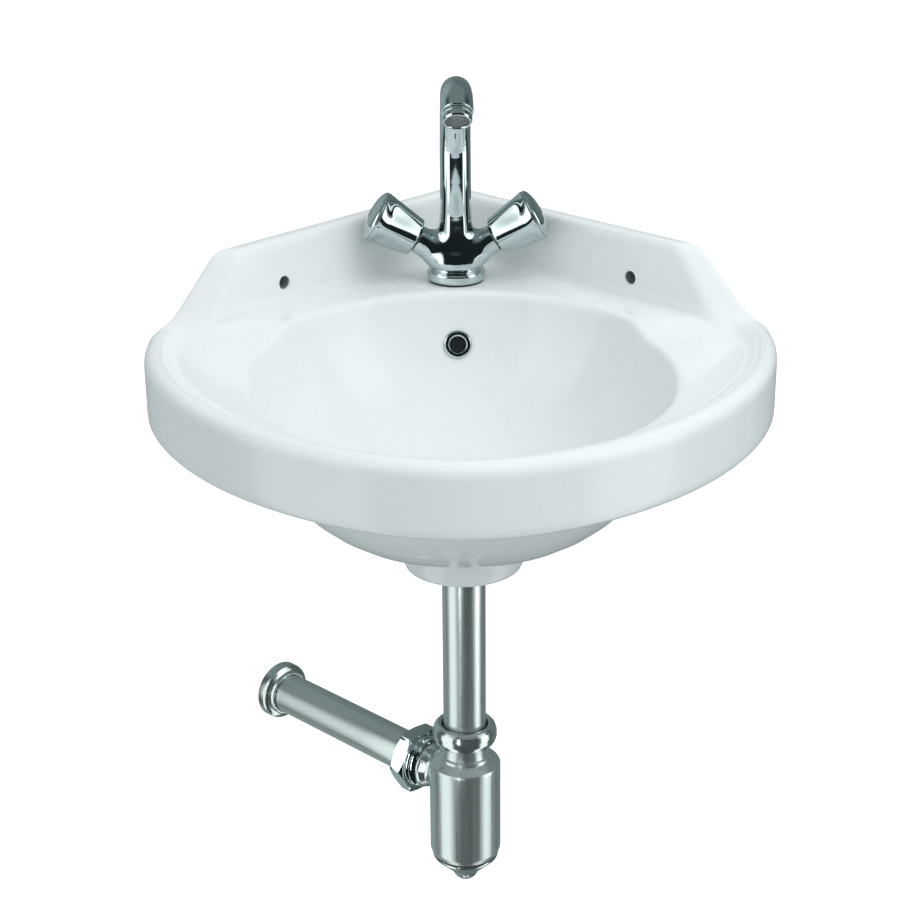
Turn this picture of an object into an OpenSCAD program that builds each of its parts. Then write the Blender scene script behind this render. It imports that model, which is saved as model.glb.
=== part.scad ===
// Corner wash basin: wall-hung ceramic basin for a room corner, with a
// two-handle centre-hole mixer, a waste and a chrome bottle trap.
//
// Frame: millimetres, +Z up. The origin is the corner where the two room
// walls meet, at the height of the basin's rim. The walls are the planes
// y = -x (right) and y = x (left), and the basin's front faces -Y.

/* [Basin] */
// Overall width of the basin across its front
basin_w = 456; // [440:1:470]
// Distance from the room corner to the front of the rim
basin_l = 492; // [485:1:500]
// Distance from the room corner to the basin's widest line
widest_y = 250; // [248:1:256]
// Height of the apron below the rim
apron_h = 52; // [48:1:60]
// Height of the splash panels above the rim
splash_h = 48; // [40:1:50]
// Thickness of the splash panels at their top
splash_t = 16; // [14:1:17]
// Distance from the room corner to the bowl's drain
drain_y = 302; // [300:1:304]
// Half the width of the bowl's opening
bowl_half_w = 150; // [145:1:152]
// Depth of the bowl's floor below the rim
bowl_depth = 118; // [112:1:120]
// Thickness of the ceramic
ceramic_t = 13; // [12:1:14]
// How far the side decks lie below the rim
deck_drop = 8; // [5:1:10]

/* [Fixing] */
// Bore of the two wall fixing holes
wall_bore_d = 10; // [8:1:12]
// Distance of the wall fixing holes from each room wall's corner, along X
wall_bore_x = 146; // [135:1:155]
// Height of the wall fixing holes above the rim
wall_bore_z = 15; // [13:1:18]
// Bore of the tap hole
tap_hole_d = 35; // [33:1:36]
// Distance from the room corner to the tap hole
tap_y = 110; // [109:1:111]
// Bore of the waste hole
waste_hole_d = 45; // [44:1:46]

/* [Mixer] */
// Diameter of the spout's column
spout_d = 24; // [22:1:24]
// Height of the spout's bend above the rim
spout_h = 160; // [150:1:165]
// Angle of the handle axes above the horizontal
arm_tilt = 30; // [29:1:32]
// Largest diameter of a handle
knob_d = 43; // [38:1:43]

/* [Waste and trap] */
// Diameter of the waste pipes
pipe_d = 32; // [32:0.5:32.5]
// Wall thickness of the waste pipes
pipe_t = 1.5; // [1:0.1:2]
// Diameter of the bottle trap's body
trap_d = 54; // [53:1:56]
// Height of the trap outlet's axis below the rim
outlet_z = 340; // [338:1:342]
// Lowest point of the clean-out cup below the rim
cup_bottom = 426; // [425:1:428]

/* [Hidden] */
$fn = 48;

// Colours
glaze = "whitesmoke";
chrome = "lightsteelblue";
brass = "darkkhaki";
rubber = "dimgray";

// ---------------------------------------------------------------- shaping

function clamp01(v) = min(1, max(0, v));
function ease(from, to, v) = let (t = clamp01((v - from) / (to - from))) t * t * (3 - 2 * t);
// Rounded minimum and maximum of two heights, k mm wide
function soft_min(a, b, k) = let (h = max(k - abs(a - b), 0) / k) min(a, b) - h * h * k / 4;
function soft_max(a, b, k) = -soft_min(-a, -b, k);

// A closed solid through rings of equal point count, flat at both ends
module loft(rings) {
    n = len(rings[0]);
    last = len(rings) - 1;
    sides = [for (k = [0 : last - 1]) for (i = [0 : n - 1]) let (j = (i + 1) % n)
        each [[k * n + i, (k + 1) * n + j, k * n + j], [k * n + i, (k + 1) * n + i, (k + 1) * n + j]]];
    polyhedron(
        points = [for (ring = rings) each ring],
        faces = concat([[for (i = [0 : n - 1]) i]], sides, [[for (i = [n - 1 : -1 : 0]) last * n + i]]),
        convexity = 8);
}

// A ring or tube standing on the XY plane
module ring(outer_r, inner_r, h) {
    difference() {
        cylinder(r = outer_r, h = h);
        translate([0, 0, -1]) cylinder(r = inner_r, h = h + 2);
    }
}

// ---------------------------------------------------------------- basin

half_w = basin_w / 2;
corner_r = 30;                      // radius of the shoulders in plan
corner_run = corner_r * tan(22.5);
wall_run = (half_w - corner_run / sqrt(2)) * sqrt(2);
front_power = 1.8;                  // roundness of the front outline
wall_steps = 11;
corner_steps = 3;
front_steps = 14;

// Right half of the plan outline, from the room corner to the middle of the front
wall_pts = [for (i = [0 : wall_steps])
    let (t = wall_run * (1 - pow(1 - i / wall_steps, 1.5))) [t / sqrt(2), -t / sqrt(2)]];
corner_pts = [for (i = [1 : corner_steps]) let (a = 45 * (1 - i / corner_steps))
    [half_w - corner_r + corner_r * cos(a), -half_w - corner_run + corner_r * sin(a)]];
front_pts = [for (i = [1 : front_steps]) let (a = 90 * i / front_steps)
    [half_w * pow(cos(a), 2 / front_power), -widest_y - (basin_l - widest_y) * pow(sin(a), 2 / front_power)]];
right_pts = concat(wall_pts, corner_pts, front_pts);
right_last = len(right_pts) - 1;
outline = concat(right_pts, [for (i = [right_last - 1 : -1 : 1]) [-right_pts[i][0], right_pts[i][1]]]);

centre = [0, -drain_y];
bowl_back = 160;                    // from the drain to the bowl's back edge
bowl_front = 157;                   // from the drain to the bowl's front edge
bowl_power = 2.6;                   // fullness of the bowl's section
bowl_round = 0.62;
rim_lift = 6;                       // the bowl's wall is drawn up to here, then rounded off
seat_z = -bowl_depth - 2;
floor_z = seat_z - 14;
boss_r = 43.5;
boss_z = -156;

// Distance from the drain to the bowl's edge in the direction u
function bowl_reach(u) = let (
        n = u[1] > 0 ? 2 : 2.2,
        b = u[1] > 0 ? bowl_back : bowl_front)
    1 / pow(pow(abs(u[0]) / bowl_half_w, n) + pow(abs(u[1]) / b, n), 1 / n);

// Height of a bowl-shaped surface at the fraction s of its reach
function bowl_z(s, bottom) = s < 1
    ? rim_lift + (bottom - rim_lift) * pow(1 - pow(s, bowl_power), bowl_round)
    : rim_lift + (s - 1) * 900;

// Height of the decks, the rim's crest and the splash panels
function deck_z(p) = -deck_drop * ease(213, 240, -p[1]);
function splash_z(p) = let (
        off = (-p[1] - abs(p[0])) / sqrt(2),
        run = (abs(p[0]) - p[1]) / sqrt(2),
        face = splash_h - (off - splash_t) * 7,
        end = splash_h - (run - 260) - 0.9 * off)
    soft_min(soft_min(splash_h, face, 6), end, 6);
function top_z(p, inset) = let (
        rim = -deck_drop * ease(11, 25, inset),
        deck = max(deck_z(p), rim))
    soft_max(deck, splash_z(p), 12);

// One vertical section of the basin, from the middle of the floor round to the boss
bowl_s = [0.2, 0.38, 0.54, 0.68, 0.79, 0.87, 0.92, 0.955, 0.98, 1, 1.02, 1.05];
deck_insets = [2.5, 5, 8, 11, 14, 18, 24, 34];
bowl_under_s = [0.95, 0.88, 0.78, 0.64, 0.48];

function section(p) = let (
        ray = p - centre,
        reach = norm(ray),
        u = ray / reach,
        bowl_r = bowl_reach(u),
        wall = p[1] > -half_w - 1 ? 1 : 0,
        lean = wall == 1 ? max(0.6, (abs(u[0]) + u[1]) / sqrt(2)) : 1,
        edge_r = wall == 1 ? 3 : 9,
        width = reach - bowl_r * 1.05,
        inner_w = width - edge_r / lean,
        count = len(deck_insets),
        edge_p = p - u * edge_r / lean,
        edge_top = top_z(edge_p, edge_r),
        skirt = ceramic_t / lean,
        gap = reach - skirt - bowl_r - ceramic_t,
        hollow = max(1.5, (apron_h - deck_drop * ease(213, 240, -p[1]) - ceramic_t) * ease(8, 40, gap)))
    concat(
        [for (s = bowl_s) let (r = s * bowl_r, q = centre + u * r)
            [r, soft_min(top_z(q, reach - r), bowl_z(s, -bowl_depth), 7)]],
        [for (i = [count - 1 : -1 : 0]) let (
                inset = edge_r / lean + min(deck_insets[i] / lean, inner_w * (i + 1) / (count + 1)),
                q = p - u * inset)
            [reach - inset, soft_min(top_z(q, inset * lean), bowl_z((reach - inset) / bowl_r, -bowl_depth), 7)]],
        [for (a = [90, 60, 30, 0])
            [reach - edge_r * (1 - cos(a)) / lean, edge_top - edge_r * (1 - sin(a))]],
        [[reach, -apron_h + 3], [reach - 1 / lean, -apron_h + 0.9], [reach - 3 / lean, -apron_h],
            [reach - skirt + 3 / lean, -apron_h], [reach - skirt, -apron_h + min(3, hollow)],
            [reach - skirt - 1, -apron_h + hollow - min(0.5, hollow / 3)],
            [reach - skirt - min(8, max(3, gap / 3)), -apron_h + hollow]],
        let (under_r = bowl_r + ceramic_t) concat(
            [[under_r + 1, -apron_h + hollow]],
            [for (s = bowl_under_s) [under_r * s, min(-apron_h + hollow, bowl_z(s, floor_z))]],
            [[boss_r + 7, floor_z - 1], [boss_r, floor_z - 8], [boss_r, boss_z + 4],
                [boss_r - 1.2, boss_z + 1.2], [boss_r - 4, boss_z], [boss_r - 12, boss_z]]));

sections = [for (p = outline) section(p)];
basin_rings = [for (k = [0 : len(sections[0]) - 1]) [for (i = [0 : len(outline) - 1])
    let (u = (outline[i] - centre) / norm(outline[i] - centre), q = centre + u * sections[i][k][0])
    [q[0], q[1], sections[i][k][1]]]];

// Overflow hole: where the bowl's back wall stands at this height
overflow_z = -39;
overflow_s = pow(1 - pow((rim_lift - overflow_z) / (rim_lift + bowl_depth), 1 / bowl_round), 1 / bowl_power);
overflow_y = -drain_y + overflow_s * bowl_back;
overflow_tilt = 25;
overflow_hole_d = 17;

module at_overflow() {
    translate([0, overflow_y, overflow_z]) rotate([90 - overflow_tilt, 0, 0]) children();
}

module at_wall_bore(side) {
    translate([side * wall_bore_x, -wall_bore_x, wall_bore_z]) rotate([0, 0, -side * 45]) rotate([90, 0, 0])
        children();
}

module at_drain() {
    translate([0, -drain_y, 0]) children();
}

module at_tap() {
    translate([0, -tap_y, 0]) children();
}

module basin() {
    color(glaze) difference() {
        loft(basin_rings);
        at_drain() translate([0, 0, boss_z - 1]) cylinder(d = waste_hole_d, h = -boss_z);
        at_drain() translate([0, 0, seat_z]) cylinder(r = 33, h = 20);
        at_drain() translate([0, 0, boss_z - 1]) cylinder(r = 36, h = floor_z - boss_z + 1);
        at_tap() translate([0, 0, -40]) cylinder(d = tap_hole_d, h = 80);
        at_overflow() translate([0, 0, -9]) cylinder(d = overflow_hole_d, h = 30);
        for (side = [-1, 1]) at_wall_bore(side) translate([0, 0, -5]) cylinder(d = wall_bore_d, h = 50);
    }
}

module overflow_ring() {
    color(chrome) at_overflow() {
        translate([0, 0, -8]) ring(overflow_hole_d / 2, 6.2, 9.5);
        translate([0, 0, 1.2]) ring(11, 6.2, 1.6);
    }
}

// ---------------------------------------------------------------- mixer

gasket_h = 1.5;
arm_z = 16;                         // height where the two handle axes cross
arm_r = 12;
arm_end = 34;                       // distances along a handle axis from the crossing
socket_r = 9.5;
socket_from = 17;
disc_h = 2.4;
knob_from = 36;
knob_to = 71;
cap_h = 6;
knob_r0 = knob_d / 2 - 6;
knob_r1 = knob_d / 2;
knob_flutes = [[37, 0.13], [54, 0.17], [63, 0.20], [68, 0.12], [71, 0.04]]; // [distance, depth]
ridge_power = 0.75;
cap_plug_h = 1.8;
spindle_r = 4;
spindle_end = 66;
column_r = spout_d / 2;
bend_r = 60;                        // main bend of the spout
nose_r = 16;                        // bend at the spout's nose
nose_turn = 45;
nose_run = 8;
nose_len = 6;
aerator_r = 11;
inlet_x = 8.5;
inlet_y = -4;
stud_y = 9;
stud_r = 4;

// side is -1 for the hot handle on the left and 1 for the cold one on the right
module at_arm(side) {
    at_tap() translate([0, 0, arm_z]) rotate([0, side * (90 - arm_tilt), 0]) children();
}

// The nose's frame: +Z points out of the spout
module at_nose() {
    translate([0, -bend_r - nose_run, spout_h - nose_r]) rotate([nose_turn, 0, 0])
        translate([0, 0, nose_r]) rotate([90, 0, 0]) children();
}

// Frames along the spout from the height z0: y, z and the angle turned from the vertical
function spout_frames(z0, nose) = let (bend_z = spout_h - bend_r, nose_y = -bend_r - nose_run,
        end_y = nose_y - nose_r * sin(nose_turn), end_z = spout_h - nose_r * (1 - cos(nose_turn)))
    concat([[0, z0, 0]],
        [for (a = [0 : 9 : 90]) [-bend_r * (1 - cos(a)), bend_z + bend_r * sin(a), a]],
        [for (a = [0 : 9 : nose_turn]) [nose_y - nose_r * sin(a), spout_h - nose_r * (1 - cos(a)), 90 + a]],
        [[end_y - nose * cos(nose_turn), end_z - nose * sin(nose_turn), 90 + nose_turn]]);

// Spout of radius r, swept along its frames
module spout(r, z0, nose) {
    loft([for (f = spout_frames(z0, nose)) [for (a = [0 : 11.25 : 359])
        [r * cos(a), f[0] + r * sin(a) * cos(f[2]), f[1] + r * sin(a) * sin(f[2])]]]);
}

module mixer_shell() {
    rotate_extrude() polygon([[0, gasket_h], [22, gasket_h], [23, 3], [23, 8], [21.5, 9.8], [19.2, 11],
        [19.2, 12.5], [20.5, 15], [21, 18], [20, 22], [17, 27], [14.5, 33], [13, 41], [column_r - 0.5, 50], [0, 50]]);
}

module mixer_body() {
    color(chrome) difference() {
        union() {
            at_tap() mixer_shell();
            at_tap() spout(column_r, 20, nose_len);
            for (side = [-1, 1]) at_arm(side) cylinder(r = arm_r, h = arm_end);
        }
        at_tap() spout(column_r - 4, 26, nose_len + 1);
        at_tap() at_nose() translate([0, 0, nose_len - 3.5]) cylinder(r = 9.8, h = 6);
        for (side = [-1, 1]) {
            at_tap() translate([side * inlet_x, inlet_y, 0]) cylinder(r = 5, h = 14);
            at_tap() translate([side * (inlet_x + 3), inlet_y, 13]) cylinder(r = 3, h = 11);
            at_arm(side) translate([0, 0, socket_from]) cylinder(r = socket_r, h = 30);
            at_arm(side) translate([0, 0, 6]) cylinder(r = 4, h = 20);
        }
        at_tap() translate([0, stud_y, 0]) cylinder(r = stud_r, h = 13);
    }
}

module mixer_gasket() {
    color(rubber) at_tap() difference() {
        cylinder(r = 21.4, h = gasket_h);
        for (side = [-1, 1]) translate([side * inlet_x, inlet_y, -1]) cylinder(r = 6, h = 4);
        translate([0, stud_y, -1]) cylinder(r = stud_r, h = 4);
    }
}

// Headwork of one valve, screwed into the arm
module cartridge(side) {
    color(brass) at_arm(side) difference() {
        union() {
            translate([0, 0, socket_from + 3]) cylinder(r = socket_r, h = arm_end - socket_from - 3);
            translate([0, 0, arm_end]) cylinder(r = 10.6, h = 5, $fn = 6);
            translate([0, 0, arm_end]) cylinder(r = 6.5, h = 12);
        }
        translate([0, 0, socket_from]) cylinder(r = 8, h = 9);
        translate([0, 0, socket_from]) cylinder(r = spindle_r + 0.05, h = 40);
    }
}

module hot_cartridge() {
    cartridge(-1);
}

module cold_cartridge() {
    cartridge(1);
}

module seat_seal(side) {
    color(rubber) at_arm(side) translate([0, 0, socket_from]) ring(socket_r, 4, 3);
}

module hot_seat_seal() {
    seat_seal(-1);
}

module cold_seat_seal() {
    seat_seal(1);
}

// Ceramic disc of a valve, with a pair of ports
module disc(side, from, r) {
    color(glaze) at_arm(side) translate([0, 0, from]) difference() {
        cylinder(r = r, h = disc_h);
        for (x = [-1, 1]) translate([x * 4.5, 0, -1]) cylinder(r = 2, h = 5);
    }
}

module hot_fixed_disc() {
    disc(-1, socket_from + 3, 8);
}

module cold_fixed_disc() {
    disc(1, socket_from + 3, 8);
}

module hot_moving_disc() {
    disc(-1, socket_from + 3 + disc_h + 0.05, 7.7);
}

module cold_moving_disc() {
    disc(1, socket_from + 3 + disc_h + 0.05, 7.7);
}

module spindle(side) {
    from = socket_from + 3 + 2 * disc_h + 0.05;
    color(brass) at_arm(side) translate([0, 0, from]) difference() {
        cylinder(r = spindle_r, h = spindle_end - from);
        translate([0, 0, spindle_end - from - 9]) cylinder(r = 2, h = 10);
    }
}

module hot_spindle() {
    spindle(-1);
}

module cold_spindle() {
    spindle(1);
}

// Outline of a handle at the distance z along its axis: four ridges with hollows of the given depth between them
function fluted(r, z, depth) = [for (a = [0 : 7.5 : 359])
    let (q = r * (1 - depth * pow((1 - cos(4 * a)) / 2, ridge_power))) [q * cos(a), q * sin(a), z]];

function knob_r(z) = knob_r0 + (knob_r1 - knob_r0) * (z - knob_from - 1) / (knob_to - knob_from - 1);

module knob(side) {
    color(chrome) at_arm(side) difference() {
        loft(concat([fluted(knob_r0 - 1, knob_from, 0.1)], [for (f = knob_flutes) fluted(knob_r(f[0]), f[0], f[1])]));
        translate([0, 0, knob_from - 1]) cylinder(r = 12.6, h = 19);
        translate([0, 0, knob_from]) cylinder(r = spindle_r, h = 40);
        translate([0, 0, spindle_end]) cylinder(r = 8, h = 20);
    }
}

module hot_knob() {
    knob(-1);
}

module cold_knob() {
    knob(1);
}

module knob_screw(side) {
    color(brass) at_arm(side) {
        translate([0, 0, spindle_end - 8]) cylinder(r = 2, h = 8);
        translate([0, 0, spindle_end]) difference() {
            cylinder(r = 4.5, h = 3);
            translate([0, 0, 1.2]) cylinder(r = 1.7, h = 3, $fn = 6);
        }
    }
}

module hot_knob_screw() {
    knob_screw(-1);
}

module cold_knob_screw() {
    knob_screw(1);
}

module knob_cap(side) {
    color(chrome) at_arm(side) {
        translate([0, 0, knob_to - cap_plug_h]) cylinder(r = 8, h = cap_plug_h);
        loft([for (a = [0, 20, 40, 60, 78])
            fluted(knob_r1 * (0.25 + 0.75 * cos(a)), knob_to + cap_h * sin(a), 0.04)]);
    }
}

module hot_knob_cap() {
    knob_cap(-1);
}

module cold_knob_cap() {
    knob_cap(1);
}

module aerator_seal() {
    color(rubber) at_tap() at_nose() translate([0, 0, nose_len - 3.5]) ring(9.8, 7, 1.5);
}

// Flow straightener with a ring of water holes
module aerator_insert() {
    color("silver") at_tap() at_nose() translate([0, 0, nose_len - 2]) difference() {
        cylinder(r = 8.6, h = 8.5);
        translate([0, 0, 2]) cylinder(r = 7.4, h = 4.5);
        for (a = [0 : 60 : 300]) rotate([0, 0, a]) translate([4.6, 0, -1]) cylinder(r = 1.3, h = 11);
        translate([0, 0, -1]) cylinder(r = 1.3, h = 11);
    }
}

module aerator_housing() {
    color(chrome) at_tap() at_nose() difference() {
        union() {
            translate([0, 0, nose_len - 2]) cylinder(r = 9.8, h = 2);
            translate([0, 0, nose_len]) cylinder(r = aerator_r, h = 8);
        }
        translate([0, 0, nose_len - 3]) cylinder(r = 8.6, h = 9.5);
        translate([0, 0, nose_len]) cylinder(r = 7.8, h = 10);
    }
}

// Fixing set below the deck
module mixer_stud() {
    color(brass) at_tap() translate([0, stud_y, -58]) cylinder(r = stud_r, h = 71);
}

module horseshoe(r, z, h) {
    at_tap() translate([0, 0, z - h]) difference() {
        intersection() {
            cylinder(r = r, h = h);
            translate([-r, -12, 0]) cube([2 * r, 2 * r, h]);
        }
        for (side = [-1, 1]) translate([side * inlet_x, inlet_y, -1]) cylinder(r = 7, h = h + 2);
        translate([-inlet_x, -13, -1]) cube([2 * inlet_x, 13, h + 2]);
        translate([0, stud_y, -1]) cylinder(r = stud_r + 0.3, h = h + 2);
    }
}

module horseshoe_gasket() {
    color(rubber) horseshoe(19.5, -ceramic_t, 3);
}

module horseshoe_washer() {
    color("silver") horseshoe(19, -ceramic_t - 3, 2.5);
}

module mixer_nut() {
    color(brass) at_tap() translate([0, stud_y, -ceramic_t - 5.5 - 12]) difference() {
        cylinder(r = 7.5, h = 12, $fn = 6);
        translate([0, 0, -1]) cylinder(r = stud_r, h = 14);
    }
}

// ---------------------------------------------------------------- waste

pipe_r = pipe_d / 2;
shank_r = 20.95;
shank_end = -152;
pipe_top = -138;
flange_r = 31.5;
seal_h = 2;

module waste_body() {
    top = seat_z + seal_h;
    color(chrome) at_drain() difference() {
        union() {
            translate([0, 0, shank_end]) cylinder(r = shank_r, h = top - shank_end);
            rotate_extrude() polygon([[0, top], [flange_r, top], [flange_r, top + 0.8], [flange_r - 3, top + 2.4],
                [21, top + 1.6], [0, top + 1.6]]);
        }
        difference() {
            translate([0, 0, pipe_top]) cylinder(r = 14.5, h = 40);
            for (a = [0, 60, 120]) rotate([0, 0, a]) translate([-15, -1.6, top - 4]) cube([30, 3.2, 4.8]);
            translate([0, 0, top - 4]) cylinder(r = 5, h = 4.8);
        }
        translate([0, 0, shank_end - 1]) cylinder(r = pipe_r, h = pipe_top - shank_end + 1);
        translate([-5, -30, seat_z - 12]) cube([10, 60, 8]);
    }
}

module waste_seal() {
    color(rubber) at_drain() translate([0, 0, seat_z]) ring(30, shank_r, seal_h);
}

module waste_washer() {
    color(rubber) at_drain() translate([0, 0, floor_z - 3]) ring(31, shank_r, 3);
}

module waste_nut() {
    color(brass) at_drain() translate([0, 0, floor_z - 13]) difference() {
        cylinder(r = 30, h = 10, $fn = 6);
        translate([0, 0, -1]) cylinder(r = shank_r, h = 12);
    }
}

module tail_pipe() {
    color(chrome) at_drain() translate([0, 0, dip_end]) ring(pipe_r, pipe_r - pipe_t, pipe_top - dip_end);
}

// ---------------------------------------------------------------- trap

trap_r = trap_d / 2;
dip_end = -380;
nut_top = -288;
nut_bottom = -304;
neck_top = -297;
thread_r = 19.5;
body_top = -322.5;
body_end = -400;
cup_seal_h = 1.4;
outlet_dir = 135;                   // plan direction of the outlet, square to the left wall
outlet_len = drain_y / sqrt(2);     // from the drain's axis to the left wall
stub_end = 47;
outlet_nut_from = 40;
outlet_nut_to = 57;

module at_outlet() {
    at_drain() translate([0, 0, -outlet_z]) rotate([0, 0, outlet_dir]) rotate([0, 90, 0]) children();
}

module inlet_nut() {
    color(chrome) at_drain() rotate_extrude() polygon([[thread_r, nut_bottom], [22, nut_bottom],
        [23.6, nut_bottom + 2], [24.25, nut_bottom + 5.5], [24.25, nut_top - 6.5], [23.4, nut_top - 3],
        [21.5, nut_top - 0.7], [19.8, nut_top], [18, nut_top], [17.2, nut_top - 1.5], [17.2, nut_top - 4],
        [thread_r, nut_top - 4]]);
}

module inlet_seal() {
    color(rubber) at_drain() translate([0, 0, neck_top]) ring(thread_r - 0.2, pipe_r, 5);
}

module trap_body() {
    color(chrome) difference() {
        union() {
            at_drain() rotate_extrude() polygon([[0, neck_top], [thread_r, neck_top], [thread_r, nut_bottom],
                [17.8, nut_bottom], [17.8, body_top + 8.5], [19.8, body_top + 7.5], [19.8, body_top + 5.5],
                [21, body_top + 5], [26.2, body_top + 1], [trap_r, body_top], [trap_r, body_end + 3.5],
                [25.8, body_end], [0, body_end]]);
            at_outlet() cylinder(r = 15.5, h = stub_end);
            at_outlet() translate([0, 0, 30]) cylinder(r = 18, h = 6);
        }
        at_drain() translate([0, 0, body_end - 1]) cylinder(r = 24.2, h = body_top - body_end - 1);
        at_drain() translate([0, 0, body_top - 8]) cylinder(r = pipe_r + 0.3, h = 40);
        at_outlet() translate([0, 0, 10]) cylinder(r = 12.5, h = 60);
    }
}

// Slip nut on the outlet, with a rounded collar towards the trap
module outlet_nut() {
    color(chrome) at_outlet() difference() {
        union() {
            translate([0, 0, outlet_nut_from + 4]) intersection() {
                cylinder(r = 27, h = outlet_nut_to - outlet_nut_from - 4, $fn = 6);
                cylinder(r1 = 28, r2 = 24.5, h = outlet_nut_to - outlet_nut_from - 4);
            }
            rotate_extrude() polygon([[0, outlet_nut_from - 3], [18.4, outlet_nut_from - 3], [20.2, outlet_nut_from - 1],
                [20.6, outlet_nut_from + 1], [20, outlet_nut_from + 4], [0, outlet_nut_from + 4]]);
        }
        translate([0, 0, 30]) cylinder(r = 15.5, h = stub_end - 30);
        translate([0, 0, 30]) cylinder(r = pipe_r, h = 60);
        translate([0, 0, stub_end]) cylinder(r = 19, h = 5);
    }
}

module outlet_seal() {
    color(rubber) at_outlet() translate([0, 0, stub_end]) ring(19, pipe_r, 5);
}

module outlet_pipe() {
    color(chrome) at_outlet() translate([0, 0, stub_end]) ring(pipe_r, pipe_r - pipe_t, outlet_len - stub_end);
}

// Cover flange where the outlet pipe enters the left wall
module wall_flange() {
    color(chrome) at_outlet() difference() {
        rotate_extrude() polygon([[0, outlet_len - 14], [17.6, outlet_len - 14], [18.2, outlet_len - 10],
            [20.5, outlet_len - 10], [22.6, outlet_len - 8.8], [23.2, outlet_len - 7], [23.2, outlet_len],
            [0, outlet_len]]);
        translate([0, 0, outlet_len - 20]) cylinder(r = pipe_r, h = 30);
    }
}

module cup_seal() {
    color(rubber) at_drain() translate([0, 0, body_end - cup_seal_h]) ring(25.2, 22.4, cup_seal_h);
}

module trap_cup() {
    cup_top = body_end - cup_seal_h;
    color(chrome) at_drain() difference() {
        union() {
            rotate_extrude() polygon([[0, cup_top], [25.4, cup_top], [25, cup_top - 2.5], [11, cup_top - 16],
                [7.8, cup_top - 20], [7.4, cup_top - 22.5], [4, -cup_bottom], [0, -cup_bottom]]);
            translate([0, 0, cup_top]) cylinder(r = 22.4, h = 8);
        }
        translate([0, 0, cup_top - 4]) cylinder(r = 19.5, h = 20);
    }
}

basin();
overflow_ring();
mixer_body();
mixer_gasket();
hot_cartridge();
cold_cartridge();
hot_seat_seal();
cold_seat_seal();
hot_fixed_disc();
cold_fixed_disc();
hot_moving_disc();
cold_moving_disc();
hot_spindle();
cold_spindle();
hot_knob();
cold_knob();
hot_knob_screw();
cold_knob_screw();
hot_knob_cap();
cold_knob_cap();
aerator_seal();
aerator_insert();
aerator_housing();
mixer_stud();
horseshoe_gasket();
horseshoe_washer();
mixer_nut();
waste_body();
waste_seal();
waste_washer();
waste_nut();
tail_pipe();
inlet_seal();
inlet_nut();
trap_body();
outlet_seal();
outlet_nut();
outlet_pipe();
wall_flange();
cup_seal();
trap_cup();
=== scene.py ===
"""Wall-hung corner basin with a two-handle mixer, a waste and a bottle trap.

Lengths are in millimetres up to add_piece(), which turns them into metres.
"""
import math

import bmesh
import bpy
import numpy as np
from mathutils import Matrix, Vector


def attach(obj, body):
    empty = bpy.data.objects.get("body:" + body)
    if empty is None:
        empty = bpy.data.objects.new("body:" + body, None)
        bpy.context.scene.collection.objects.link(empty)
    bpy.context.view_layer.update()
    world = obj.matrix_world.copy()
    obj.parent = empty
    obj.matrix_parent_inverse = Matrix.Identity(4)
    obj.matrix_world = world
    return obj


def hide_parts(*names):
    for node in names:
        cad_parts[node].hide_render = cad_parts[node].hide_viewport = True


MM = 0.001
ROOT2 = math.sqrt(2)

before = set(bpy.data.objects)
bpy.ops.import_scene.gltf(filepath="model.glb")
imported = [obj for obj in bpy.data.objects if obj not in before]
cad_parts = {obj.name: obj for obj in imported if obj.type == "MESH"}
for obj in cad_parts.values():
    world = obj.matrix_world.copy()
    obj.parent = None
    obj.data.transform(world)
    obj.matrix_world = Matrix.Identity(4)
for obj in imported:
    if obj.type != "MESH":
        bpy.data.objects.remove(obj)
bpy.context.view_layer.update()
scene = bpy.context.scene

# ------------------------------------------------------------------ camera

camera = bpy.data.objects.new("camera", bpy.data.cameras.new("camera"))
scene.collection.objects.link(camera)
scene.camera = camera
camera.data.sensor_width = 36
camera.data.lens = 80
camera.data.clip_end = 60
pitch, yaw, roll = (math.radians(a) for a in (22.2615, -0.90687, -0.53625))
forward = Vector((-math.sin(yaw) * math.cos(pitch), math.cos(yaw) * math.cos(pitch), -math.sin(pitch)))
level = Vector((math.cos(yaw), math.sin(yaw), 0))
upward = level.cross(forward)
across = level * math.cos(roll) + upward * math.sin(roll)
upward = upward * math.cos(roll) - level * math.sin(roll)
turn = Matrix((across, upward, -forward)).transposed()
camera.matrix_world = Matrix.Translation(Vector((-30.0, -1618.8, 472.3)) * MM) @ turn.to_4x4()

# --------------------------------------------------------------- materials


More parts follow.
